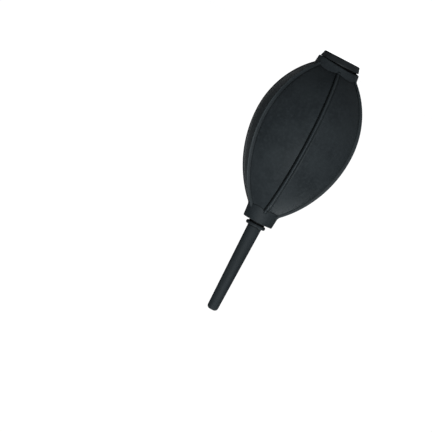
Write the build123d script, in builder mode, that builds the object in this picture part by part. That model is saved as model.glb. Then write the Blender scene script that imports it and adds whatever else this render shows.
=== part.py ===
"""Hand-squeezed dust blower: a ribbed silicone bulb with a pull-out nozzle, a filtered air inlet
in its tail, and a one-way valve at each end.

Millimetres. The blower stands on its flat tail cap, so Z = 0 is the cap's outer face and +Z runs
along the axis to the nozzle's tip. The thumb presses the panel that faces -Y and the fingers
press the one that faces +Y.
"""

from build123d import *
from math import cos, radians, sin, sqrt
import os

# --- Driving dimensions -------------------------------------------------------------------------
OVERALL_LENGTH = 147.1
COLLAR_TOP_Z = 95.4  # end face of the nose collar

# Bulb: six panels between six ribs
PANEL_COUNT = 6
WIDEST_Z = 43.4
WIDEST_PANEL_R = 26.95  # at the middle of a panel
TAIL_JOINT_Z, TAIL_JOINT_R = 6.9, 10.1
NOSE_JOINT_Z, NOSE_JOINT_R = 88.4, 7.9
PANEL_FLATNESS = 28.0  # how far behind the axis each panel's centre of curvature lies
WALL = 2.8
RIB_R = 1.0
RIB_SUNK = 0.1  # depth of a rib's centre below the edge that it follows
RIB_TAIL_Z, RIB_NOSE_Z = 7.7, 88.9

# Collars at the two ends of the bulb
TAIL_COLLAR_Z = 4.2
TAIL_COLLAR_R, TAIL_COLLAR_ROOT_R = 11.7, 12.48
TAIL_COLLAR_ROOT_Z = 9.4
TAIL_BORE_R, TAIL_BOSS_Z = 7.5, 10.5
NOSE_COLLAR_R, NOSE_COLLAR_ROOT_R = 8.2, 8.95
NOSE_COLLAR_ROOT_Z = 87.2
NOSE_BORE_R, NOSE_BOSS_Z = 5.6, 83.5
COLLAR_EDGE = 0.45

# Squeezed panels
SQUEEZE_HALF_WIDTH, SQUEEZE_HALF_HEIGHT = 10.5, 20.0
SQUEEZE_GAP = 0.3

# Tail cap, with the filter cartridge in its stem
CAP_FACE_R, CAP_RIM_R, CAP_H = 10.1, 11.1, 3.4
CAP_FACE_EDGE, CAP_RIM_EDGE = 0.9, 0.35
CAP_FLOOR = 1.6
STEM_R, STEM_TOP_Z = 6.2, 12.8
CARTRIDGE_R, CARTRIDGE_Z = 5.2, 6.0
INLET_R = 4.6
WINDOW_COUNT, WINDOW_WIDTH = 4, 3.0
SHOULDER_R, SHOULDER_GAP = 10.1, 0.02  # the step that the collar's end face rests on
SCREEN_H, FELT_H, RETAINER_H = 0.4, 4.0, 1.6
SCREEN_HOLE_R = 0.45
SCREEN_RINGS = ((6, 1.6), (12, 3.2))  # number of holes, radius of their circle
RETAINER_R, RETAINER_EDGE = 4.2, 0.3
CAP_SEAL_Z, CAP_SEAL_MINOR_R, CAP_GROOVE_R = 5.25, 0.44, 5.4

# Tail insert, with the inlet valve's seat
INSERT_BORE_R = 6.3
INSERT_TOP_Z, INSERT_GUARD_R = 17.6, 6.6
INLET_SEAT_Z, INLET_SEAT_H = 16.0, 1.4
INSERT_BARB_R, INSERT_BARB_H, INSERT_BARB_TOP_Z = 8.6, 0.8, 13.6

# Nose bushing, with the outlet valve's seat
BUSHING_BORE_R = 4.5
BUSHING_TOP_Z, BUSHING_BOTTOM_Z = 95.0, 80.8
OUTLET_SEAT_Z, OUTLET_SEAT_H = 83.4, 1.2
BUSHING_BARB_R, BUSHING_BARB_H = 6.9, 0.7

# Valves: a flap on a seat, under the head of the pin that guides it
PORT_COUNT = 6
FLAP_H, FLAP_LIFT, FLAP_PLAY = 0.6, 0.8, 0.05
PIN_HEAD_H = 0.8
INLET_FLAP_R, INLET_PIN_R, INLET_HEAD_R, INLET_CLIP_R = 4.9, 1.0, 2.3, 1.5
INLET_PORT_R, INLET_PORT_CIRCLE = 0.95, 3.3
OUTLET_FLAP_R, OUTLET_PIN_R, OUTLET_HEAD_R, OUTLET_CLIP_R = 4.0, 0.8, 1.9, 1.2
OUTLET_PORT_R, OUTLET_PORT_CIRCLE = 0.7, 2.7

# Nozzle
PLUG_R, PLUG_END_Z, PLUG_LEAD = 4.42, 87.0, 0.6
FLANGE_Z, FLANGE_R, FLANGE_H, FLANGE_EDGE = 96.4, 5.5, 1.9, 0.8
SHANK_ROOT_R, SHANK_TIP_R, TIP_EDGE = 3.85, 2.95, 1.85
SHANK_ROOT_FILLET = 0.4
ORIFICE_R, ORIFICE_LENGTH = 1.0, 8.0
AIRWAY_R, AIRWAY_MOUTH_R, AIRWAY_CONE = 2.2, 2.7, 3.0
NOZZLE_SEAL_Z, NOZZLE_SEAL_MINOR_R, NOZZLE_GROOVE_R = 91.65, 0.43, 3.6
SEAL_PLAY = 0.01
GROOVE_PLAY = 0.22  # each side of a seal, along the axis

HALF_PANEL = radians(180 / PANEL_COUNT)
os.makedirs("parts", exist_ok=True)


def write(node, name):
    """Labels a finished piece and writes it as parts/NAME.step."""
    node.part.label = name
    export_step(node.part, f"parts/{name}.step")


def end_arc_radius(joint_z, joint_r):
    """Radius of the arc that leaves the widest point upright and ends at a joint with a collar."""
    drop = WIDEST_PANEL_R - joint_r
    run = joint_z - WIDEST_Z
    return (run**2 + drop**2) / (2 * drop)


TAIL_ARC_R = end_arc_radius(TAIL_JOINT_Z, TAIL_JOINT_R)
NOSE_ARC_R = end_arc_radius(NOSE_JOINT_Z, NOSE_JOINT_R)


def panel_r(z, inset=0.0):
    """Distance from the axis to the middle of a panel at height z, or to a surface inset from it."""
    arc_r = TAIL_ARC_R if z < WIDEST_Z else NOSE_ARC_R
    return WIDEST_PANEL_R - arc_r + sqrt((arc_r - inset) ** 2 - (z - WIDEST_Z) ** 2)


def edge_r(z):
    """Distance from the axis to the edge where two panels meet, under a rib."""
    return sqrt((panel_r(z) + PANEL_FLATNESS) ** 2 - (PANEL_FLATNESS * sin(HALF_PANEL)) ** 2) - (
        PANEL_FLATNESS * cos(HALF_PANEL)
    )


def meridian(low_z, high_z, inset=0.0):
    """The two arcs of a panel's middle line between two heights, inside a BuildLine."""
    widest = (panel_r(WIDEST_Z, inset), WIDEST_Z)
    ThreePointArc(
        (panel_r(low_z, inset), low_z),
        (panel_r((low_z + WIDEST_Z) / 2, inset), (low_z + WIDEST_Z) / 2),
        widest,
    )
    ThreePointArc(
        widest,
        (panel_r((high_z + WIDEST_Z) / 2, inset), (high_z + WIDEST_Z) / 2),
        (panel_r(high_z, inset), high_z),
    )
    return (panel_r(low_z, inset), low_z), (panel_r(high_z, inset), high_z)


# --- One sixth of the bulb's outside, centred on +X ---------------------------------------------
SECTOR_LOW_Z, SECTOR_HIGH_Z = TAIL_JOINT_Z - 0.8, NOSE_JOINT_Z + 0.8
with BuildPart() as sector:
    with BuildSketch(Plane.XZ):
        with BuildLine():
            low, high = meridian(SECTOR_LOW_Z, SECTOR_HIGH_Z)
            Polyline(
                high,
                (-PANEL_FLATNESS, SECTOR_HIGH_Z),
                (-PANEL_FLATNESS, SECTOR_LOW_Z),
                low,
            )
        make_face()
    revolve(axis=Axis((-PANEL_FLATNESS, 0, 0), (0, 0, 1)))
    for side in (-1, 1):
        wedge_side = Plane(
            origin=(0, 0, 0),
            x_dir=(cos(HALF_PANEL), side * sin(HALF_PANEL), 0),
            z_dir=(sin(HALF_PANEL), -side * cos(HALF_PANEL), 0),
        )
        split(bisect_by=wedge_side, keep=Keep.TOP)

# --- Air chamber and the bores through the two collars ------------------------------------------
with BuildPart() as chamber:
    with BuildSketch(Plane.XZ):
        with BuildLine():
            low, high = meridian(TAIL_BOSS_Z, NOSE_BOSS_Z, WALL)
            Polyline(
                high,
                (NOSE_BORE_R, NOSE_BOSS_Z),
                (NOSE_BORE_R, COLLAR_TOP_Z),
                (0, COLLAR_TOP_Z),
                (0, TAIL_COLLAR_Z),
                (TAIL_BORE_R, TAIL_COLLAR_Z),
                (TAIL_BORE_R, TAIL_BOSS_Z),
                low,
            )
        make_face()
    revolve(axis=Axis.Z)

# --- One rib, above the +X edge, with rounded ends ----------------------------------------------
with BuildPart() as rib:
    with BuildLine(Plane.XZ) as rib_path:
        widest_edge = (edge_r(WIDEST_Z) - RIB_SUNK, WIDEST_Z)
        tail_end = (edge_r(RIB_TAIL_Z) - RIB_SUNK, RIB_TAIL_Z)
        nose_end = (edge_r(RIB_NOSE_Z) - RIB_SUNK, RIB_NOSE_Z)
        TangentArc(widest_edge, tail_end, tangent=(0, -1))
        TangentArc(widest_edge, nose_end, tangent=(0, 1))
    rib_wire = rib_path.wires()[0]
    with BuildSketch(Plane(origin=rib_wire @ 0, z_dir=rib_wire % 0)):
        Circle(RIB_R)
    sweep(path=rib_wire)
    with Locations(rib_wire @ 0, rib_wire @ 1):
        Sphere(RIB_R)

# --- Whole moulding, before the squeezed panels are cut out -------------------------------------
with BuildPart() as moulding:
    with PolarLocations(0, PANEL_COUNT, start_angle=180 / PANEL_COUNT):
        add(sector.part)
    with BuildSketch(Plane.XZ):
        Polygon(
            (0, TAIL_COLLAR_Z),
            (TAIL_COLLAR_R, TAIL_COLLAR_Z),
            (TAIL_COLLAR_ROOT_R, TAIL_COLLAR_ROOT_Z),
            (0, TAIL_COLLAR_ROOT_Z),
            align=None,
        )
    revolve(axis=Axis.Z)
    with BuildSketch(Plane.XZ):
        Polygon(
            (0, NOSE_COLLAR_ROOT_Z),
            (NOSE_COLLAR_ROOT_R, NOSE_COLLAR_ROOT_Z),
            (NOSE_COLLAR_R, COLLAR_TOP_Z),
            (0, COLLAR_TOP_Z),
            align=None,
        )
    revolve(axis=Axis.Z)
    fillet(edges().sort_by(Axis.Z)[-1], COLLAR_EDGE)
    fillet(edges().sort_by(Axis.Z)[0], COLLAR_EDGE)
    with PolarLocations(0, PANEL_COUNT):
        add(rib.part)
    add(chamber.part, mode=Mode.SUBTRACT)

with BuildPart() as bulb_skin:
    add(moulding.part)
    with BuildSketch(Plane.XZ):
        with Locations((0, WIDEST_Z)):
            Ellipse(SQUEEZE_HALF_WIDTH, SQUEEZE_HALF_HEIGHT)
    extrude(amount=OVERALL_LENGTH, both=True, mode=Mode.SUBTRACT)
write(bulb_skin, "bulb_skin")

for name, outward in (("thumb_panel", 1), ("finger_panel", -1)):
    with BuildPart() as panel:
        add(moulding.part)
        with BuildSketch(Plane.XZ):
            with Locations((0, WIDEST_Z)):
                Ellipse(SQUEEZE_HALF_WIDTH - SQUEEZE_GAP, SQUEEZE_HALF_HEIGHT - SQUEEZE_GAP)
        extrude(amount=outward * OVERALL_LENGTH, mode=Mode.INTERSECT)
    write(panel, name)


# --- Valves -------------------------------------------------------------------------------------
def seat_holes(seat_z, seat_h, pin_r, port_r, port_circle):
    """What is drilled from a valve seat: the pin's hole and the ring of air ports."""
    with BuildPart() as holes:
        with BuildSketch(Plane.XY.offset(seat_z - seat_h)):
            Circle(pin_r)
            with PolarLocations(port_circle, PORT_COUNT):
                Circle(port_r)
        extrude(amount=seat_h)
    return holes.part


def make_flap(name, seat_z, flap_r, pin_r):
    """A silicone disc that lies on its seat and slides up the pin when air lifts it."""
    with BuildPart() as flap:
        with BuildSketch(Plane.XY.offset(seat_z)):
            Circle(flap_r)
            Circle(pin_r + FLAP_PLAY, mode=Mode.SUBTRACT)
        extrude(amount=FLAP_H)
        fillet(edges().filter_by(GeomType.CIRCLE).group_by(SortBy.RADIUS)[-1], FLAP_H / 3)
    write(flap, name)


def make_pin(name, seat_z, seat_h, pin_r, head_r, clip_r):
    """A flap's guide pin: a clip under the seat, a stem through it, and a head as the flap's stop."""
    head_z = seat_z + FLAP_H + FLAP_LIFT + FLAP_PLAY
    clip_z = seat_z - seat_h
    with BuildPart() as pin:
        with BuildSketch(Plane.XZ):
            Polygon(
                (0, clip_z - PIN_HEAD_H),
                (pin_r, clip_z - PIN_HEAD_H),
                (clip_r, clip_z),
                (pin_r, clip_z),
                (pin_r, head_z),
                (head_r, head_z),
                (head_r, head_z + PIN_HEAD_H),
                (0, head_z + PIN_HEAD_H),
                align=None,
            )
        revolve(axis=Axis.Z)
        fillet(edges().filter_by(GeomType.CIRCLE).sort_by(Axis.Z)[-1], PIN_HEAD_H / 2)
    write(pin, name)


make_flap("intake_valve_flap", INLET_SEAT_Z, INLET_FLAP_R, INLET_PIN_R)
make_pin("intake_valve_pin", INLET_SEAT_Z, INLET_SEAT_H, INLET_PIN_R, INLET_HEAD_R, INLET_CLIP_R)
make_flap("outlet_valve_flap", OUTLET_SEAT_Z, OUTLET_FLAP_R, OUTLET_PIN_R)
make_pin("outlet_valve_pin", OUTLET_SEAT_Z, OUTLET_SEAT_H, OUTLET_PIN_R, OUTLET_HEAD_R, OUTLET_CLIP_R)

# --- Tail insert: the hard tube in the tail collar, which holds the cap and the inlet valve -----
inlet_holes = seat_holes(INLET_SEAT_Z, INLET_SEAT_H, INLET_PIN_R, INLET_PORT_R, INLET_PORT_CIRCLE)
with BuildPart() as tail_insert:
    with BuildSketch(Plane.XZ):
        Polygon(
            (INSERT_BORE_R, TAIL_COLLAR_Z),
            (TAIL_BORE_R, TAIL_COLLAR_Z),
            (TAIL_BORE_R, TAIL_BOSS_Z),
            (INSERT_BARB_R, TAIL_BOSS_Z),
            (INSERT_BARB_R, TAIL_BOSS_Z + INSERT_BARB_H),
            (TAIL_BORE_R, INSERT_BARB_TOP_Z),
            (TAIL_BORE_R, INSERT_TOP_Z),
            (INSERT_GUARD_R, INSERT_TOP_Z),
            (INSERT_GUARD_R, INLET_SEAT_Z),
            (0, INLET_SEAT_Z),
            (0, INLET_SEAT_Z - INLET_SEAT_H),
            (INSERT_BORE_R, INLET_SEAT_Z - INLET_SEAT_H),
            align=None,
        )
    revolve(axis=Axis.Z)
    add(inlet_holes, mode=Mode.SUBTRACT)
write(tail_insert, "tail_insert")

# --- Nose bushing: the hard tube in the nose collar, for the nozzle and the outlet valve --------
outlet_holes = seat_holes(
    OUTLET_SEAT_Z, OUTLET_SEAT_H, OUTLET_PIN_R, OUTLET_PORT_R, OUTLET_PORT_CIRCLE
)
with BuildPart() as nose_bushing:
    with BuildSketch(Plane.XZ):
        Polygon(
            (BUSHING_BORE_R, BUSHING_TOP_Z),
            (NOSE_BORE_R, BUSHING_TOP_Z),
            (NOSE_BORE_R, NOSE_BOSS_Z),
            (BUSHING_BARB_R, NOSE_BOSS_Z),
            (BUSHING_BARB_R, NOSE_BOSS_Z - BUSHING_BARB_H),
            (NOSE_BORE_R, BUSHING_BOTTOM_Z),
            (BUSHING_BORE_R, BUSHING_BOTTOM_Z),
            (BUSHING_BORE_R, OUTLET_SEAT_Z - OUTLET_SEAT_H),
            (0, OUTLET_SEAT_Z - OUTLET_SEAT_H),
            (0, OUTLET_SEAT_Z),
            (BUSHING_BORE_R, OUTLET_SEAT_Z),
            align=None,
        )
    revolve(axis=Axis.Z)
    add(outlet_holes, mode=Mode.SUBTRACT)
write(nose_bushing, "nose_bushing")


# --- Seals --------------------------------------------------------------------------------------
def make_seal(name, z, groove_r, minor_r):
    """A rubber ring in a groove, a hair clear of the groove's floor."""
    with BuildPart() as seal:
        with Locations((0, 0, z)):
            Torus(groove_r + SEAL_PLAY + minor_r, minor_r)
    write(seal, name)


def seal_groove(z, groove_r, minor_r, body_r):
    """The ring of material that such a seal's groove takes out of a body."""
    half_width = minor_r + GROOVE_PLAY
    with BuildPart() as groove:
        with BuildSketch(Plane.XY.offset(z - half_width)):
            Circle(body_r + 1)
            Circle(groove_r, mode=Mode.SUBTRACT)
        extrude(amount=2 * half_width)
    return groove.part


make_seal("tail_cap_seal", CAP_SEAL_Z, CAP_GROOVE_R, CAP_SEAL_MINOR_R)
make_seal("nozzle_seal", NOZZLE_SEAL_Z, NOZZLE_GROOVE_R, NOZZLE_SEAL_MINOR_R)

# --- Tail cap: a flat foot, a shoulder under the collar, and a hollow stem ----------------------
# Air comes in all round above the rim, along four channels across the shoulder, and into the stem.
SHOULDER_Z = TAIL_COLLAR_Z - SHOULDER_GAP
cap_groove = seal_groove(CAP_SEAL_Z, CAP_GROOVE_R, CAP_SEAL_MINOR_R, STEM_R)
with BuildPart() as tail_cap:
    with BuildSketch(Plane.XZ):
        Polygon(
            (0, 0),
            (CAP_FACE_R, 0),
            (CAP_RIM_R, CAP_H),
            (SHOULDER_R, CAP_H),
            (SHOULDER_R, SHOULDER_Z),
            (STEM_R, SHOULDER_Z),
            (STEM_R, STEM_TOP_Z),
            (CARTRIDGE_R, STEM_TOP_Z),
            (CARTRIDGE_R, CARTRIDGE_Z),
            (INLET_R, CARTRIDGE_Z),
            (INLET_R, CAP_FLOOR),
            (0, CAP_FLOOR),
            align=None,
        )
    revolve(axis=Axis.Z)
    fillet(edges().sort_by(Axis.Z)[0], CAP_FACE_EDGE)
    fillet(edges().filter_by(GeomType.CIRCLE).sort_by(SortBy.RADIUS)[-1], CAP_RIM_EDGE)
    add(cap_groove, mode=Mode.SUBTRACT)
    with BuildSketch(Plane.XY.offset(CAP_H)):
        with PolarLocations(CAP_RIM_R / 2, WINDOW_COUNT):
            Rectangle(CAP_RIM_R, WINDOW_WIDTH)
    extrude(amount=TAIL_COLLAR_Z - CAP_H, mode=Mode.SUBTRACT)
write(tail_cap, "tail_cap")

# --- Filter cartridge: felt between two perforated screens, under a retaining ring ---------------
FELT_Z = CARTRIDGE_Z + SCREEN_H
INNER_SCREEN_Z = FELT_Z + FELT_H
RETAINER_Z = INNER_SCREEN_Z + SCREEN_H

for name, screen_z in (("filter_screen_outer", CARTRIDGE_Z), ("filter_screen_inner", INNER_SCREEN_Z)):
    with BuildPart() as screen:
        with BuildSketch(Plane.XY.offset(screen_z)):
            Circle(CARTRIDGE_R)
            Circle(SCREEN_HOLE_R, mode=Mode.SUBTRACT)
            for count, circle_r in SCREEN_RINGS:
                with PolarLocations(circle_r, count):
                    Circle(SCREEN_HOLE_R, mode=Mode.SUBTRACT)
        extrude(amount=SCREEN_H)
    write(screen, name)

with BuildPart() as filter_felt:
    with BuildSketch(Plane.XY.offset(FELT_Z)):
        Circle(CARTRIDGE_R)
    extrude(amount=FELT_H)
write(filter_felt, "filter_felt")

with BuildPart() as filter_retainer:
    with BuildSketch(Plane.XY.offset(RETAINER_Z)):
        Circle(CARTRIDGE_R)
        Circle(RETAINER_R, mode=Mode.SUBTRACT)
    extrude(amount=RETAINER_H)
    chamfer(edges().group_by(Axis.Z)[-1].sort_by(SortBy.RADIUS)[0], RETAINER_EDGE)
write(filter_retainer, "filter_retainer")

# --- Nozzle: plug, flange and tapered shank in one piece ----------------------------------------
FLANGE_TOP_Z = FLANGE_Z + FLANGE_H
ORIFICE_Z = OVERALL_LENGTH - ORIFICE_LENGTH
nozzle_groove = seal_groove(NOZZLE_SEAL_Z, NOZZLE_GROOVE_R, NOZZLE_SEAL_MINOR_R, PLUG_R)
with BuildPart() as nozzle:
    with BuildSketch(Plane.XZ):
        Polygon(
            (AIRWAY_MOUTH_R, PLUG_END_Z),
            (PLUG_R - PLUG_LEAD, PLUG_END_Z),
            (PLUG_R, PLUG_END_Z + PLUG_LEAD),
            (PLUG_R, FLANGE_Z),
            (FLANGE_R, FLANGE_Z),
            (FLANGE_R, FLANGE_TOP_Z),
            (SHANK_ROOT_R, FLANGE_TOP_Z),
            (SHANK_TIP_R, OVERALL_LENGTH),
            (ORIFICE_R, OVERALL_LENGTH),
            (ORIFICE_R, ORIFICE_Z),
            (AIRWAY_R, ORIFICE_Z - AIRWAY_CONE),
            align=None,
        )
    revolve(axis=Axis.Z)
    rings = edges().filter_by(GeomType.CIRCLE)
    fillet(rings.group_by(SortBy.RADIUS)[-1], FLANGE_EDGE)
    rings = edges().filter_by(GeomType.CIRCLE)
    fillet(rings.group_by(Axis.Z)[-1].sort_by(SortBy.RADIUS)[-1], TIP_EDGE)
    root = rings.filter_by(lambda e: abs(e.radius - SHANK_ROOT_R) < 0.01)
    fillet(root, SHANK_ROOT_FILLET)
    add(nozzle_groove, mode=Mode.SUBTRACT)
write(nozzle, "nozzle")
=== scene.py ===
"""Looks of the hand-squeezed dust blower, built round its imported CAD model.

Metres, in the CAD model's frame: +Z runs up the blower's axis from the tail cap's flat face to the
nozzle's tip, the thumb presses the side that faces -Y, and angles round the axis are counted from
-Y towards +X.
"""

from math import cos, pi, radians, sin

import bpy
import numpy as np
from mathutils import Matrix, Vector


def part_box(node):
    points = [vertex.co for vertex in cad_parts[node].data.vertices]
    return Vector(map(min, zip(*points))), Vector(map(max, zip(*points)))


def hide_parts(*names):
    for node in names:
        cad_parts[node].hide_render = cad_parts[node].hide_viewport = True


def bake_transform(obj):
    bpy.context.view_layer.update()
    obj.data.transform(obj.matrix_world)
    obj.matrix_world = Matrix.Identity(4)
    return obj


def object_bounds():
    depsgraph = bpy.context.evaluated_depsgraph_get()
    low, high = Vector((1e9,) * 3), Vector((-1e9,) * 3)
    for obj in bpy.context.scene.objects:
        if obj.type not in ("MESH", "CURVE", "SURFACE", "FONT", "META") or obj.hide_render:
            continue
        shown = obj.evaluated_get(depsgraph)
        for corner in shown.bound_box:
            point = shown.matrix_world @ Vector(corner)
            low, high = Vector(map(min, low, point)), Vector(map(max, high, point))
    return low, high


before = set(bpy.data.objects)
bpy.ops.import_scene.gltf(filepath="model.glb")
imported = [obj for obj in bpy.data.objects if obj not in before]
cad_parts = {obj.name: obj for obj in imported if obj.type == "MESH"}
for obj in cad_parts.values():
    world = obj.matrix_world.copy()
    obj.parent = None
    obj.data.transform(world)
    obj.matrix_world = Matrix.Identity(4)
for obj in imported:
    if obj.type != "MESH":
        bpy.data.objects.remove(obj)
cad_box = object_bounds()

MM = 0.001
TOLERANCE = 0.001 * MM
TINY = 1e-12
SKIN_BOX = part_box("bulb_skin")
CAP_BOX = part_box("tail_cap")


# --- The bulb's outside, as the CAD model has it ------------------------------------------------
RIB_COUNT = 6
SECTOR, HALF_SECTORS = 2 * pi / RIB_COUNT, RIB_COUNT // 2
COLLAR_LOW_Z, COLLAR_TOP_Z = SKIN_BOX[0].z, SKIN_BOX[1].z
WIDEST_Z = COLLAR_LOW_Z + 39.2 * MM
WIDEST_PANEL_R = SKIN_BOX[1].x - 2.84 * MM
TAIL_JOINT_Z, TAIL_JOINT_R = COLLAR_LOW_Z + 2.7 * MM, 10.1 * MM
NOSE_JOINT_Z, NOSE_JOINT_R = COLLAR_TOP_Z - 7.0 * MM, 7.9 * MM
PANEL_FLATNESS = 28 * MM  # how far beyond the axis the centre of a panel's arc lies
WALL = 2.8 * MM
TAIL_COLLAR_R, TAIL_COLLAR_SLOPE = 11.7 * MM, 0.15
NOSE_COLLAR_R, NOSE_COLLAR_SLOPE = 8.2 * MM, 0.0915
COLLAR_EDGE = 0.35 * MM
COLLAR_BLEND = 0.2 * MM  # softness of the line where a panel meets a collar
CREASE_WIDTH = 0.3 * MM  # how near that line, in radius, the skin gets painted shade
TAIL_BORE_R, TAIL_BOSS_Z = 7.5 * MM, COLLAR_LOW_Z + 6.3 * MM
NOSE_BORE_R, NOSE_BOSS_Z = 5.6 * MM, COLLAR_TOP_Z - 11.9 * MM

# --- Where painted shade goes, in the dark between the bulb's collars and the hard pieces -------
SHOULDER_R = 10.25 * MM  # the cap's step inside the tail collar's lip
PLUG_R, FLANGE_LOW_Z = 4.7 * MM, COLLAR_TOP_Z + 1.02 * MM
SHANK_ROOT_R, FLANGE_TOP_Z = 4.25 * MM, COLLAR_TOP_Z + 2.9 * MM

# --- The tail collar's lip, which hangs unevenly over the cap's shoulder -----------------------
CAP_RIM_Z = CAP_BOX[0].z + 3.4 * MM
LIP_INNER_R = 10.45 * MM
LIP_FLAT, LIP_SLOPE = 0.25 * MM, 0.05 * MM  # widths of its flat end and its inner side
LIP_GAP, LIP_CRESCENT = 0.06 * MM, 1.1 * MM  # the air gap all round, and how much its wide part adds
CRESCENT_ANGLE, CRESCENT_HALF_ANGLE = radians(-62), radians(110)
LIP_REACH = 2.4 * MM  # how far up the collar the lip's unevenness dies away

# --- Ribs: a bead, with a deep groove along one side and a shallow valley along the other --------
RIB_HEIGHT, RIB_HALF_WIDTH = 0.95 * MM, 0.85 * MM
GROOVE_DEPTH, GROOVE_AT, GROOVE_HALF_WIDTH = 1.0 * MM, 1.15 * MM, 0.55 * MM
VALLEY_DEPTH, VALLEY_AT, VALLEY_HALF_WIDTH = 0.28 * MM, -1.2 * MM, 0.75 * MM
VALLEY_SHADE = 0.45  # how much painted shade the valley's floor gets beside the groove's
# How far outside a collar's radius the ribs' roots lie where their grooves start, and are full.
GROOVE_START, GROOVE_FULL = -0.48 * MM, 0.32 * MM
RIB_TAIL_Z, RIB_NOSE_Z = COLLAR_LOW_Z + 2.6 * MM, COLLAR_TOP_Z - 5.8 * MM
RIB_END_LENGTH = 1.3 * MM
FLASH_HEIGHT, FLASH_HALF_WIDTH = 0.05 * MM, 0.12 * MM  # the mould's parting line

# --- A slow, slight waviness: turns along x, y and z, in radians per metre, and a phase ----------
WAVE_HEIGHT = 0.035 * MM
WAVES = ((41, 63, 38, 0.4), (97, -52, 71, 1.9), (-64, 118, 143, 4.1), (171, 149, -88, 2.6))


def end_arc_radius(joint_z, joint_r):
    """Radius of the arc that leaves the widest point upright and ends at a joint with a collar."""
    drop = WIDEST_PANEL_R - joint_r
    return ((joint_z - WIDEST_Z) ** 2 + drop**2) / (2 * drop)


def panel_r(z, inset=0.0):
    """Distance from the axis to the middle of a panel, or to a surface inset from it."""
    arc = np.where(
        z < WIDEST_Z,
        end_arc_radius(TAIL_JOINT_Z, TAIL_JOINT_R),
        end_arc_radius(NOSE_JOINT_Z, NOSE_JOINT_R),
    )
    return WIDEST_PANEL_R - arc + np.sqrt((arc - inset) ** 2 - (z - WIDEST_Z) ** 2)


def panel_r_at(z, off_middle):
    """Distance from the axis to a panel, off_middle radians round from its middle line."""
    middle = panel_r(z) + PANEL_FLATNESS
    across = PANEL_FLATNESS * np.sin(off_middle)
    return np.sqrt(middle**2 - across**2) - PANEL_FLATNESS * np.cos(off_middle)


def collar_r(z):
    """Distance from the axis to whichever collar is nearer, each a cone that widens towards the bulb."""
    tail = TAIL_COLLAR_R + TAIL_COLLAR_SLOPE * (z - COLLAR_LOW_Z)
    nose = NOSE_COLLAR_R + NOSE_COLLAR_SLOPE * (COLLAR_TOP_Z - z)
    return np.where(z < WIDEST_Z, tail, nose)


def soft_max(a, b, softness):
    """The larger of a and b, rounded where they cross."""
    mix = np.clip(0.5 + 0.5 * (a - b) / softness, 0, 1)
    return b + (a - b) * mix + softness * mix * (1 - mix)


def bump(u, half_width):
    """1 at u = 0, falling smoothly to 0 at half_width."""
    return 0.5 + 0.5 * np.cos(pi * np.clip(u / half_width, -1, 1))


def rib_profile(u):
    """How far bead, groove and valley are there, 0 to 1, at distance u round from a rib's middle."""
    bead = np.cos(0.5 * pi * np.clip(u / RIB_HALF_WIDTH, -1, 1))
    groove = bump(u - GROOVE_AT, GROOVE_HALF_WIDTH)
    valley = bump(u - VALLEY_AT, VALLEY_HALF_WIDTH)
    return bead, groove, valley


def rib_presence(z):
    """1 along a rib, falling to 0 over its rounded ends."""
    past_end = np.maximum(RIB_TAIL_Z + RIB_END_LENGTH - z, z - RIB_NOSE_Z + RIB_END_LENGTH)
    return np.sqrt(np.clip(1 - np.clip(past_end / RIB_END_LENGTH, 0, 1) ** 2, 0, 1))


# --- Mesh helpers -------------------------------------------------------------------------------
def make_object(name, verts, faces):
    mesh = bpy.data.meshes.new(name)
    mesh.from_pydata(verts, [], faces)
    mesh.polygons.foreach_set("use_smooth", [True] * len(mesh.polygons))
    obj = bpy.data.objects.new(name, mesh)
    bpy.context.scene.collection.objects.link(obj)
    return obj


def set_attribute(obj, name, values):
    obj.data.attributes.new(name, "FLOAT", "POINT").data.foreach_set("value", values.astype(np.float32))


def spread(start, end, count):
    """count evenly spaced values from start, leaving out end."""
    return start + (end - start) * np.arange(count) / count


# --- Bulb skin ----------------------------------------------------------------------------------
SHADING = ("rib_bead", "rib_groove", "crease")  # what the paint needs to know about each point: where the painted highlight on the beads and the painted shade in the grooves, valleys and creases go
RIGHT_OF_RIB = 2.1 * MM
LEFT_OF_RIB = 1.95 * MM
RIGHT_COLUMNS, LEFT_COLUMNS, PANEL_COLUMNS = 20, 17, 30
SECTOR_COLUMNS = RIGHT_COLUMNS + PANEL_COLUMNS + LEFT_COLUMNS
FINE_STEP, COARSE_STEP = 0.16 * MM, 0.5 * MM  # between rows, near the collars and along the bulb
TAIL_FINE_LENGTH, NOSE_FINE_LENGTH = 7 * MM, 9 * MM
EDGE_ROWS, NOSE_FACE_ROWS, NOSE_BORE_ROWS = 5, 4, 6
INSIDE_ROWS, TAIL_BORE_ROWS, TAIL_FACE_ROWS = 40, 5, 5


def skin_columns():
    """Each column's distance from its rib, its share of the panel, and 1 if its rib is the next one.

    A column beside a rib keeps a fixed distance from it, so that the rib keeps its width as the
    bulb narrows, and the columns between, which have no distance, share out the rest of the panel.
    """
    right = spread(0, RIGHT_OF_RIB, RIGHT_COLUMNS)
    left = spread(-LEFT_OF_RIB, 0, LEFT_COLUMNS)
    share = spread(0, 1, PANEL_COLUMNS)
    u = np.concatenate([right, np.full(PANEL_COLUMNS, np.nan), left])
    shares = np.concatenate([np.full(RIGHT_COLUMNS, np.nan), share, np.full(LEFT_COLUMNS, np.nan)])
    next_rib = np.concatenate([np.zeros(RIGHT_COLUMNS + PANEL_COLUMNS), np.ones(LEFT_COLUMNS)])
    return u, shares, next_rib


def skin_angles(reference_r):
    """Angles of one row's columns round the axis, from the rib at -X, for edges at reference_r."""
    u, shares, next_rib = skin_columns()
    start = RIGHT_OF_RIB / reference_r
    end = SECTOR - LEFT_OF_RIB / reference_r
    within = np.where(np.isnan(u), start + (end - start) * np.nan_to_num(shares), 0)
    beside = np.where(np.isnan(u), 0, next_rib * SECTOR + np.nan_to_num(u) / reference_r)
    one_sector = within + beside
    return np.concatenate([one_sector + k * SECTOR for k in range(RIB_COUNT)])


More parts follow.
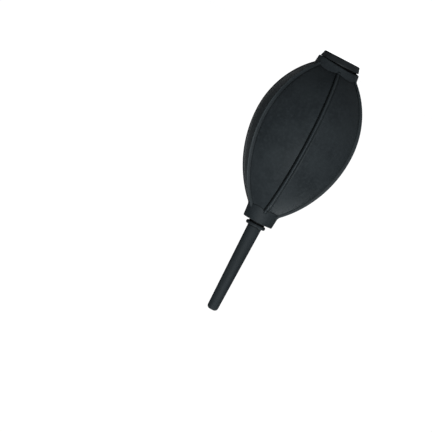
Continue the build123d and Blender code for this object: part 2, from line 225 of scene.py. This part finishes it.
def outer_row(z):
    """Radii and angles of the outside points at height z, with their shares of bead, groove, crease: where
    the painted highlight and painted shade go.
    """
    u = np.tile(skin_columns()[0], RIB_COUNT)
    edge = float(panel_r_at(z, SECTOR / 2))
    collar = float(collar_r(z))
    angles = skin_angles(max(edge, collar))
    off_middle = np.mod(angles, SECTOR) - SECTOR / 2
    bead, groove, valley = (np.nan_to_num(part) * rib_presence(z) for part in rib_profile(u))
    off_collar = np.clip((edge - collar - GROOVE_START) / (GROOVE_FULL - GROOVE_START), 0, 1)
    cut = (GROOVE_DEPTH * groove + VALLEY_DEPTH * valley) * off_collar
    panel = panel_r_at(z, off_middle)
    r = soft_max(panel - cut, collar, COLLAR_BLEND) + RIB_HEIGHT * bead
    # painted shade along the line where a panel meets a collar
    crease = np.exp(-(((panel - collar) / CREASE_WIDTH) ** 2)) * (1 - bead)
    parting_rib = np.isin(np.round(angles / SECTOR).astype(int) % RIB_COUNT, (0, HALF_SECTORS))
    flash = np.where(parting_rib, FLASH_HEIGHT * bump(np.nan_to_num(u, nan=1), FLASH_HALF_WIDTH), 0)
    r += flash * rib_presence(z)
    return r, angles, bead, np.maximum(groove, VALLEY_SHADE * valley) * off_collar, crease


def outer_heights():
    """Heights of the outside's rows: close together near the collars, wider along the bulb."""
    low, high = COLLAR_LOW_Z + COLLAR_EDGE, COLLAR_TOP_Z - COLLAR_EDGE
    tail_end, nose_start = low + TAIL_FINE_LENGTH, high - NOSE_FINE_LENGTH
    return np.concatenate([
        np.arange(low, tail_end, FINE_STEP),
        np.linspace(tail_end, nose_start, int((nose_start - tail_end) / COARSE_STEP)),
        np.arange(nose_start + FINE_STEP, high, FINE_STEP),
        [high],
    ])


def round_rows(points, reference):
    """Plain round rows through (r, z) points, with their columns where the row at reference has them."""
    angles = outer_row(reference)[1]
    flat = np.zeros(len(angles))
    return [(np.full(len(angles), r), angles, *[flat] * len(SHADING), z) for r, z in points]


def lip_drop(angles):
    """How far the tail collar's end moves up, or down if below 0, at angles from the rib at -X."""
    off_crescent = (angles - pi / 2 - CRESCENT_ANGLE + pi) % (2 * pi) - pi
    gap = LIP_GAP + LIP_CRESCENT * bump(off_crescent, CRESCENT_HALF_ANGLE)
    return CAP_RIM_Z + gap - COLLAR_LOW_Z


def lip_share(r, z):
    """How much of the lip's drop a point at (r, z) takes: all at the end, none further up."""
    up = np.clip((z - COLLAR_LOW_Z - COLLAR_EDGE) / LIP_REACH, 0, 1)
    return np.where((r > LIP_INNER_R - TOLERANCE) & (z < WIDEST_Z), (1 - up) ** 2, 0)


def edge_arc(centre_r, centre_z, start, end):
    """Points of a quarter circle of the collar's edge radius, from angle start to angle end."""
    return [
        (centre_r + COLLAR_EDGE * cos(a), centre_z + COLLAR_EDGE * sin(a))
        for a in np.linspace(start, end, EDGE_ROWS)
    ]


def skin_rows():
    """The skin's rows, once round its section: up the outside, over the nose, and back down inside."""
    rows = []
    for z in outer_heights():
        rows.append((*outer_row(z), z))
    nose_edge = edge_arc(NOSE_COLLAR_R - COLLAR_EDGE, COLLAR_TOP_Z - COLLAR_EDGE, 0, pi / 2)[1:]
    nose_face_r = spread(NOSE_COLLAR_R - COLLAR_EDGE, NOSE_BORE_R, NOSE_FACE_ROWS)[1:]
    nose_face = [(r, COLLAR_TOP_Z) for r in nose_face_r]
    nose_bore = [(NOSE_BORE_R, z) for z in spread(COLLAR_TOP_Z, NOSE_BOSS_Z, NOSE_BORE_ROWS)]
    inside = [(float(panel_r(z, WALL)), z) for z in np.linspace(NOSE_BOSS_Z, TAIL_BOSS_Z, INSIDE_ROWS)]
    tail_bore = [(TAIL_BORE_R, z) for z in np.linspace(TAIL_BOSS_Z, COLLAR_LOW_Z, TAIL_BORE_ROWS)]
    tail_face_r = np.linspace(TAIL_BORE_R, LIP_INNER_R - LIP_SLOPE, TAIL_FACE_ROWS)[1:]
    tail_face = [(r, COLLAR_LOW_Z) for r in tail_face_r]
    tail_edge = [(LIP_INNER_R, COLLAR_LOW_Z), (LIP_INNER_R + LIP_FLAT, COLLAR_LOW_Z)]
    tail_edge += edge_arc(TAIL_COLLAR_R - COLLAR_EDGE, COLLAR_LOW_Z + COLLAR_EDGE, -pi / 2, 0)[:-1]
    top_z, low_z = COLLAR_TOP_Z - COLLAR_EDGE, COLLAR_LOW_Z + COLLAR_EDGE
    rows += round_rows(nose_edge + nose_face + nose_bore + [(NOSE_BORE_R, NOSE_BOSS_Z)], top_z)
    for r, z in inside:
        rows += round_rows([(r, z)], z)
    rows += round_rows(tail_bore + tail_face + tail_edge, low_z)
    return rows


def unevenness(x, y, z):
    """The waviness of hand-sized rubber at a point, as a height."""
    return WAVE_HEIGHT * sum(np.sin(a * x + b * y + c * z + phase) for a, b, c, phase in WAVES)


def skin_grid():
    """Positions, normals and the SHADING attributes of the whole skin, as (column, row) arrays."""
    rows = skin_rows()
    r = np.array([row[0] for row in rows]).T
    angles = np.array([row[1] for row in rows]).T - pi / 2
    z = np.array([np.full(len(row[0]), row[-1]) for row in rows]).T
    z += lip_share(r, z) * lip_drop(angles + pi / 2)
    outer_count = len(outer_heights())
    wavy = np.zeros_like(r)  # the outside's rows, least at the collars
    wavy[:, :outer_count] = bump(np.linspace(-1, 1, outer_count), 1.0)
    r = r + wavy * unevenness(r * np.sin(angles), -r * np.cos(angles), z)
    points = np.stack([r * np.sin(angles), -r * np.cos(angles), z], axis=-1)
    along_column = np.roll(points, -1, axis=1) - np.roll(points, 1, axis=1)
    along_row = np.roll(points, -1, axis=0) - np.roll(points, 1, axis=0)
    normals = np.cross(along_row, along_column)
    normals /= np.maximum(np.linalg.norm(normals, axis=-1, keepdims=True), TINY)
    return points, normals, *(np.array([row[2 + i] for row in rows]).T for i in range(len(SHADING)))


def make_skin_half(name, grid, first_sector):
    """Half the skin's sectors as one closed shell, cut along two ribs where the mould parts."""
    half = np.arange(HALF_SECTORS * SECTOR_COLUMNS + 1)
    columns = (half + first_sector * SECTOR_COLUMNS) % (RIB_COUNT * SECTOR_COLUMNS)
    points, normals, *shading = (part[columns] for part in grid)
    points[[0, -1], :, 1] = 0  # the cut faces lie in the middle plane
    column_count, row_count = points.shape[:2]
    index = np.arange(column_count * row_count).reshape(column_count, row_count)
    next_row = np.roll(index, -1, axis=1)
    sides = np.stack([index[:-1], index[1:], next_row[1:], next_row[:-1]], axis=-1).reshape(-1, 4)
    faces = sides.tolist() + [index[0].tolist(), index[-1][::-1].tolist()]
    obj = make_object(name, points.reshape(-1, 3).tolist(), faces)
    for attribute, values in zip(SHADING, shading):
        set_attribute(obj, attribute, values.ravel())
    outward = 1.0 if first_sector else -1.0
    loop_normals = np.concatenate([
        normals.reshape(-1, 3)[sides.ravel()],
        np.tile([0.0, -outward, 0.0], (2 * row_count, 1)),
    ])
    obj.data.normals_split_custom_set(loop_normals.tolist())
    return obj


def make_bulb():
    grid = skin_grid()
    front = make_skin_half("bulb_skin_front", grid, 0)
    rear = make_skin_half("bulb_skin_rear", grid, HALF_SECTORS)
    for half, side, towards in ((front, "thumb_side", -1), (rear, "finger_side", 1)):
        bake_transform(half)
        half.data.materials.append(silicone())
    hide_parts("bulb_skin", "thumb_panel")
    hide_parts("finger_panel")


# --- Materials ----------------------------------------------------------------------------------
# Base colours, each pair from its noise's low places to its high ones.
SILICONE_COLOURS = (0.0165, 0.0200, 0.0226), (0.0225, 0.0268, 0.0298)
SILICONE_MOTTLE = (0.0290, 0.0342, 0.0378)
# painted highlight along the crests of the ribs' beads
BEAD_HIGHLIGHT_COLOUR = (0.0400, 0.0465, 0.0510)
# painted shade in the ribs' grooves and valleys and in the creases at the collars
SHADE_COLOUR = (0.0016, 0.0020, 0.0023)
# painted shade for the recesses at the collars' ends
RECESS_SHADE_COLOUR = (0.0012, 0.0013, 0.0014)
SILICONE_LAYERS = (  # pattern, where its paint starts and is full, its share there, colour
    ("mottle", 0.4, 0.75, 0.5, SILICONE_MOTTLE),
    # painted highlight: the beads lighter than the panels beside them
    ("rib_bead", 0.5, 1, 0.75, BEAD_HIGHLIGHT_COLOUR),
    # painted shade in the grooves and valleys beside the ribs
    ("rib_groove", 0.1, 0.9, 0.92, SHADE_COLOUR),
    # painted shade along the creases where the panels meet the collars
    ("crease", 0.1, 1, 0.6, SHADE_COLOUR),
)
SILICONE_ROUGHNESS = (  # pattern, two of its values, what each adds to the roughness
    ("mottle", 0.3, 0.7, -0.03, 0.04),
    ("rib_bead", 0.6, 1, 0, -0.07),
    ("rib_groove", 0.1, 0.8, 0, 0.4),
)
NOZZLE_COLOURS = (0.0175, 0.0210, 0.0236), (0.0235, 0.0278, 0.0308)
CAP_COLOURS = (0.0150, 0.0169, 0.0186), (0.0200, 0.0223, 0.0243)
INSERT_COLOURS = (0.016, 0.016, 0.017), (0.030, 0.030, 0.031)
VALVE_COLOURS = (0.55, 0.53, 0.47), (0.68, 0.66, 0.60)
SEAL_COLOURS = (0.006, 0.006, 0.0065), (0.012, 0.012, 0.013)
FELT_COLOURS = (0.50, 0.49, 0.45), (0.74, 0.73, 0.69)
SCREEN_COLOURS = (0.50, 0.50, 0.50), (0.64, 0.64, 0.65)
MATTE_SPECULAR, CAP_SPECULAR = 0.13, 0.22
NOISE_RANGE = (0.3, 0.7)  # where nearly all of a noise texture's values lie

# How far the painted shade in the recesses goes past their edges.
LIP_SHADE_R, LIP_SHADE_BELOW, LIP_SHADE_ABOVE = LIP_INNER_R + 0.15 * MM, 0.9 * MM, 0.6 * MM
SHANK_SHADE_BELOW, SHANK_SHADE_ABOVE, SHANK_SHADE_SHARE = 0.05 * MM, 0.4 * MM, 0.75
CAP_SHADE_ABOVE_RIM = 0.05 * MM


class Shader:
    """A material's node tree, with short ways to add the nodes that these materials use."""

    def __init__(self, name):
        self.material = bpy.data.materials.new(name)
        self.material.use_nodes = True
        self.tree = self.material.node_tree
        self.shader = self.tree.nodes["Principled BSDF"]
        self.place = self.node("ShaderNodeTexCoord").outputs["Object"]

    def node(self, kind, **settings):
        node = self.tree.nodes.new(kind)
        for key, value in settings.items():
            setattr(node, key, value)
        return node

    def link(self, source, target):
        self.tree.links.new(source, target)

    def noise(self, size, detail=2.0, roughness=0.5, stretch=(1, 1, 1)):
        """Smooth noise whose features are about size metres across."""
        mapping = self.node("ShaderNodeMapping")
        mapping.inputs["Scale"].default_value = stretch
        self.link(self.place, mapping.inputs["Vector"])
        noise = self.node("ShaderNodeTexNoise")
        noise.inputs["Scale"].default_value = 1 / size
        noise.inputs["Detail"].default_value = detail
        noise.inputs["Roughness"].default_value = roughness
        self.link(mapping.outputs["Vector"], noise.inputs["Vector"])
        return noise.outputs["Fac"]

    def attribute(self, name):
        return self.node("ShaderNodeAttribute", attribute_name=name).outputs["Fac"]

    def remap(self, value, low, high, to_low, to_high):
        node = self.node("ShaderNodeMapRange", interpolation_type="SMOOTHSTEP")
        for socket, number in zip(("From Min", "From Max", "To Min", "To Max"), (low, high, to_low, to_high)):
            node.inputs[socket].default_value = number
        self.link(value, node.inputs["Value"])
        return node.outputs["Result"]

    def math(self, operation, a, b):
        node = self.node("ShaderNodeMath", operation=operation)
        for socket, value in zip(node.inputs, (a, b)):
            if isinstance(value, (int, float)):
                socket.default_value = value
            else:
                self.link(value, socket)
        return node.outputs["Value"]

    def mix(self, share, a, b):
        """Colour a where share is 0 and b where it is 1. Each is three numbers or a socket."""
        node = self.node("ShaderNodeMix", data_type="RGBA")
        self.link(share, node.inputs["Factor"])
        for socket, colour in ((node.inputs[6], a), (node.inputs[7], b)):
            if isinstance(colour, tuple):
                socket.default_value = (*colour, 1)
            else:
                self.link(colour, socket)
        return node.outputs[2]

    def paint_recess_shade(self, base, within_r, low_z, high_z, share=1.0):
        """Base colour with painted shade: darkened where the piece lies between two heights near the axis."""
        split = self.node("ShaderNodeSeparateXYZ")
        self.link(self.place, split.inputs["Vector"])
        flat = self.node("ShaderNodeVectorMath", operation="MULTIPLY")
        flat.inputs[1].default_value = (1, 1, 0)
        self.link(self.place, flat.inputs[0])
        off_axis = self.node("ShaderNodeVectorMath", operation="LENGTH")
        self.link(flat.outputs["Vector"], off_axis.inputs[0])
        shares = (
            self.math("LESS_THAN", off_axis.outputs["Value"], within_r),
            self.math("GREATER_THAN", split.outputs["Z"], low_z),
            self.math("LESS_THAN", split.outputs["Z"], high_z),
        )
        inside = self.math("MULTIPLY", self.math("MULTIPLY", shares[0], shares[1]), shares[2])
        return self.mix(self.math("MULTIPLY", inside, share), base, RECESS_SHADE_COLOUR)

    def bump(self, heights):
        """Bump from (height socket, depth in metres) pairs."""
        normal = None
        for height, depth in heights:
            node = self.node("ShaderNodeBump")
            node.inputs["Strength"].default_value = 1.0
            node.inputs["Distance"].default_value = depth
            self.link(height, node.inputs["Height"])
            if normal is not None:
                self.link(normal, node.inputs["Normal"])
            normal = node.outputs["Normal"]
        self.link(normal, self.shader.inputs["Normal"])

    def set(self, **values):
        for name, value in values.items():
            self.shader.inputs[name.replace("_", " ")].default_value = value

    def paint(self, base, roughness):
        self.link(base, self.shader.inputs["Base Color"])
        self.link(roughness, self.shader.inputs["Roughness"])


def cached(make):
    """A material's function that makes it once, however many pieces ask for it."""
    made = []

    def get():
        if not made:
            made.append(make())
        return made[0]

    return get


@cached
def silicone():
    s = Shader("bulb_silicone")
    cloud = s.noise(14 * MM, detail=3)
    patterns = {"mottle": s.noise(1.6 * MM, detail=2)}
    patterns.update((name, s.attribute(name)) for name in SHADING)
    base = s.mix(s.remap(cloud, 0.35, 0.65, 0, 1), *SILICONE_COLOURS)
    for name, start, full, share, colour in SILICONE_LAYERS:
        base = s.mix(s.remap(patterns[name], start, full, 0, share), base, colour)
    # painted shade on the tail collar's end face and bore, in the gap over the cap
    base = s.paint_recess_shade(base, LIP_SHADE_R, COLLAR_LOW_Z - LIP_SHADE_BELOW, COLLAR_LOW_Z + LIP_SHADE_ABOVE)
    rough = s.remap(cloud, *NOISE_RANGE, 0.50, 0.60)
    for name, low, high, adds_low, adds_high in SILICONE_ROUGHNESS:
        rough = s.math("ADD", rough, s.remap(patterns[name], low, high, adds_low, adds_high))
    s.paint(base, rough)
    s.set(Specular_IOR_Level=MATTE_SPECULAR)
    s.bump([(patterns["mottle"], 0.03 * MM), (s.noise(0.28 * MM, detail=1), 0.022 * MM)])
    return s.material


@cached
def nozzle_plastic():
    s = Shader("nozzle_plastic")
    flow = s.noise(3 * MM, detail=2, stretch=(1, 1, 0.12))
    grain = s.noise(0.22 * MM, detail=1)
    base = s.mix(s.remap(flow, 0.35, 0.7, 0, 1), *NOZZLE_COLOURS)
    # painted shade on the plug in the gap between the nose collar and the flange
    base = s.paint_recess_shade(base, PLUG_R, COLLAR_TOP_Z, FLANGE_LOW_Z)
    # a line of painted shade where the shank meets the flange
    shade_low, shade_high = FLANGE_TOP_Z - SHANK_SHADE_BELOW, FLANGE_TOP_Z + SHANK_SHADE_ABOVE
    base = s.paint_recess_shade(base, SHANK_ROOT_R, shade_low, shade_high, SHANK_SHADE_SHARE)
    s.paint(base, s.remap(flow, *NOISE_RANGE, 0.56, 0.66))
    s.set(Specular_IOR_Level=MATTE_SPECULAR)
    s.bump([(grain, 0.02 * MM)])
    return s.material


@cached
def cap_plastic():
    s = Shader("cap_plastic")
    cloud = s.noise(6 * MM, detail=3)
    grain = s.noise(0.25 * MM, detail=1)
    base = s.mix(s.remap(cloud, 0.35, 0.7, 0, 1), *CAP_COLOURS)
    # painted shade on the cap's shoulder, down inside the tail collar's lip
    base = s.paint_recess_shade(base, SHOULDER_R, CAP_RIM_Z + CAP_SHADE_ABOVE_RIM, COLLAR_LOW_Z)
    s.paint(base, s.remap(cloud, *NOISE_RANGE, 0.48, 0.6))
    s.set(Specular_IOR_Level=CAP_SPECULAR)
    s.bump([(grain, 0.025 * MM)])
    return s.material


@cached
def insert_plastic():
    s = Shader("insert_plastic")
    cloud = s.noise(5 * MM, detail=2)
    base = s.mix(s.remap(cloud, *NOISE_RANGE, 0, 1), *INSERT_COLOURS)
    s.paint(base, s.remap(cloud, *NOISE_RANGE, 0.32, 0.45))
    s.bump([(s.noise(0.5 * MM), 0.01 * MM)])
    return s.material


@cached
def valve_silicone():
    s = Shader("valve_silicone")
    cloud = s.noise(2 * MM, detail=2)
    base = s.mix(s.remap(cloud, *NOISE_RANGE, 0, 1), *VALVE_COLOURS)
    s.paint(base, s.remap(cloud, *NOISE_RANGE, 0.3, 0.42))
    s.set(Subsurface_Weight=0.4, Subsurface_Scale=1 * MM)
    s.bump([(s.noise(0.3 * MM), 0.008 * MM)])
    return s.material


@cached
def seal_rubber():
    s = Shader("seal_rubber")
    cloud = s.noise(1.5 * MM, detail=2)
    base = s.mix(s.remap(cloud, *NOISE_RANGE, 0, 1), *SEAL_COLOURS)
    s.paint(base, s.remap(cloud, *NOISE_RANGE, 0.22, 0.38))
    s.bump([(s.noise(0.2 * MM), 0.006 * MM)])
    return s.material


@cached
def filter_felt():
    s = Shader("filter_felt")
    tufts = s.noise(0.9 * MM, detail=4, roughness=0.7)
    fibre = s.noise(0.12 * MM, detail=2, stretch=(1, 0.25, 1))
    base = s.mix(s.remap(tufts, *NOISE_RANGE, 0, 1), *FELT_COLOURS)
    s.link(base, s.shader.inputs["Base Color"])
    s.set(Roughness=0.95, Sheen_Weight=0.4)
    s.bump([(tufts, 0.12 * MM), (fibre, 0.05 * MM)])
    return s.material


@cached
def filter_screen():
    s = Shader("filter_screen")
    rolled = s.noise(0.35 * MM, detail=2, stretch=(0.06, 1, 1))
    base = s.mix(s.remap(rolled, *NOISE_RANGE, 0, 1), *SCREEN_COLOURS)
    s.paint(base, s.remap(rolled, *NOISE_RANGE, 0.26, 0.42))
    s.set(Metallic=1.0)
    s.bump([(rolled, 0.006 * MM)])
    return s.material


CAD_MATERIALS = {
    "nozzle": nozzle_plastic,
    "tail_cap": cap_plastic,
    "nose_bushing": insert_plastic,
    "tail_insert": insert_plastic,
    "filter_retainer": insert_plastic,
    "intake_valve_pin": insert_plastic,
    "outlet_valve_pin": insert_plastic,
    "intake_valve_flap": valve_silicone,
    "outlet_valve_flap": valve_silicone,
    "nozzle_seal": seal_rubber,
    "tail_cap_seal": seal_rubber,
    "filter_felt": filter_felt,
    "filter_screen_outer": filter_screen,
    "filter_screen_inner": filter_screen,
}


def finish_cad_nodes():
    for name, material in CAD_MATERIALS.items():
        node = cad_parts[name]
        node.data.materials.clear()
        node.data.materials.append(material())


# --- Studio -------------------------------------------------------------------------------------
AZIMUTH, ELEVATION, ROLL = radians(-22), radians(-3.5), radians(207.6)
LENS, SENSOR = 250.0, 36.0  # millimetres, as Blender's camera takes them
CLIP_START, CLIP_END = 0.01, 100
PICTURE_WIDTH = 224.6 * MM  # what the picture spans at the blower
RIGHT_OF_CENTRE, ABOVE_CENTRE = 31.6 * MM, 16.4 * MM  # where the blower's middle stands in it
FLOOR_SIZE = 40.0
FLOOR_COLOUR = (0.35, 0.35, 0.355, 1)  # grey to the lights, so that little of them bounces up
FLOOR_LIFT = 0.95  # how far the camera sees the floor above what the lights make it
WORLD_WHITE = 1.05  # the world's strength where the camera sees it
WORLD_BASE = 0.03  # its least strength where it lights things
LIGHT_COLOUR = (0.94, 1.0, 1.015)
WORLD_GLOWS = (  # towards, cosine where the glow ends, strength
    ((-0.8, -0.5, 0.45), 0.1, 0.06),
    ((0.375, 0.93, 0.06), 0.93, 1.5),
    ((0.0, 0.0, 1.0), 0.2, 0.08),
)
LIGHTS = (  # name, direction from the blower's middle, distance, diameter, watts
    ("key", (-0.40, -0.80, 0.50), 1.1, 0.6, 11.5),
    ("side", (-0.95, -0.25, 0.30), 1.0, 0.7, 0.4),
    ("top", (-0.4, -0.5, 1.0), 1.2, 0.8, 1.0),
    ("rear", (-0.1, 0.75, 0.75), 1.2, 0.8, 7.0),
    ("far_side", (1.0, 0.6, 0.4), 1.2, 0.8, 0.4),
)


def camera_axes():
    """The camera's right, up and back directions."""
    back = Vector((sin(AZIMUTH) * cos(ELEVATION), -cos(AZIMUTH) * cos(ELEVATION), sin(ELEVATION)))
    level_right = Vector((0, 0, 1)).cross(back).normalized()
    level_up = back.cross(level_right)
    right = cos(ROLL) * level_right + sin(ROLL) * level_up
    return right, back.cross(right), back


def make_camera():
    right, up, back = camera_axes()
    middle = (cad_box[0] + cad_box[1]) / 2
    target = middle - right * RIGHT_OF_CENTRE - up * ABOVE_CENTRE
    camera = bpy.data.objects.new("camera", bpy.data.cameras.new("camera"))
    camera.data.lens, camera.data.sensor_width = LENS, SENSOR
    camera.data.clip_start, camera.data.clip_end = CLIP_START, CLIP_END
    camera.matrix_world = Matrix((right, up, back)).transposed().to_4x4()
    camera.location = target + back * (LENS / SENSOR * PICTURE_WIDTH)
    bpy.context.scene.collection.objects.link(camera)
    bpy.context.scene.camera = camera


def make_light(name, place, aim, size, power):
    light = bpy.data.lights.new(name, "AREA")
    light.shape, light.size, light.energy, light.color = "DISK", size, power, LIGHT_COLOUR
    obj = bpy.data.objects.new(name, light)
    obj.location = place
    obj.rotation_mode = "QUATERNION"
    obj.rotation_quaternion = (Vector(aim) - Vector(place)).to_track_quat("-Z", "Y")
    bpy.context.scene.collection.objects.link(obj)


def glow(tree, direction, towards, low, high):
    """A soft patch of world light, high where direction points and falling to 0 at the cosine low."""
    dot = tree.nodes.new("ShaderNodeVectorMath")
    dot.operation = "DOT_PRODUCT"
    dot.inputs[1].default_value = Vector(towards).normalized()
    tree.links.new(direction, dot.inputs[0])
    patch = tree.nodes.new("ShaderNodeMapRange")
    patch.interpolation_type = "SMOOTHSTEP"
    patch.inputs["From Min"].default_value = low
    patch.inputs["To Max"].default_value = high
    tree.links.new(dot.outputs["Value"], patch.inputs["Value"])
    return patch.outputs["Result"]


def make_world():
    """A studio that is white where the camera sees it, and far dimmer where it lights things."""
    world = bpy.data.worlds.new("studio")
    world.use_nodes = True
    tree = world.node_tree
    background = tree.nodes["Background"]
    camera_ray = tree.nodes.new("ShaderNodeLightPath").outputs["Is Camera Ray"]
    colour = tree.nodes.new("ShaderNodeMix")
    colour.data_type = "RGBA"
    colour.inputs[6].default_value, colour.inputs[7].default_value = (*LIGHT_COLOUR, 1), (1, 1, 1, 1)
    tree.links.new(camera_ray, colour.inputs["Factor"])
    tree.links.new(colour.outputs[2], background.inputs["Color"])
    direction = tree.nodes.new("ShaderNodeTexCoord").outputs["Generated"]
    strength = None
    for towards, low, high in WORLD_GLOWS:
        patch = glow(tree, direction, towards, low, high)
        if strength is not None:
            add = tree.nodes.new("ShaderNodeMath")
            tree.links.new(strength, add.inputs[0])
            tree.links.new(patch, add.inputs[1])
            patch = add.outputs["Value"]
        strength = patch
    lit = tree.nodes.new("ShaderNodeMath")
    lit.inputs[1].default_value = WORLD_BASE
    tree.links.new(strength, lit.inputs[0])
    choose = tree.nodes.new("ShaderNodeMix")
    choose.inputs["B"].default_value = WORLD_WHITE
    tree.links.new(camera_ray, choose.inputs["Factor"])
    tree.links.new(lit.outputs["Value"], choose.inputs["A"])
    tree.links.new(choose.outputs["Result"], background.inputs["Strength"])
    bpy.context.scene.world = world


def make_floor():
    half = FLOOR_SIZE / 2
    corners = [(-half, -half, 0), (half, -half, 0), (half, half, 0), (-half, half, 0)]
    floor = make_object("floor", corners, [(0, 1, 2, 3)])
    s = Shader("floor_paper")
    s.set(Base_Color=FLOOR_COLOUR, Roughness=0.9, Specular_IOR_Level=0.1, Emission_Color=(1, 1, 1, 1))
    lifted = s.math("MULTIPLY", s.node("ShaderNodeLightPath").outputs["Is Camera Ray"], FLOOR_LIFT)
    s.link(lifted, s.shader.inputs["Emission Strength"])
    floor.data.materials.append(s.material)


def make_studio():
    bpy.context.scene.view_settings.view_transform = "Standard"
    make_world()
    make_floor()
    middle = (cad_box[0] + cad_box[1]) / 2
    for name, direction, distance, size, power in LIGHTS:
        make_light(name, middle + Vector(direction).normalized() * distance, middle, size, power)


make_camera()
make_studio()
make_bulb()
finish_cad_nodes()
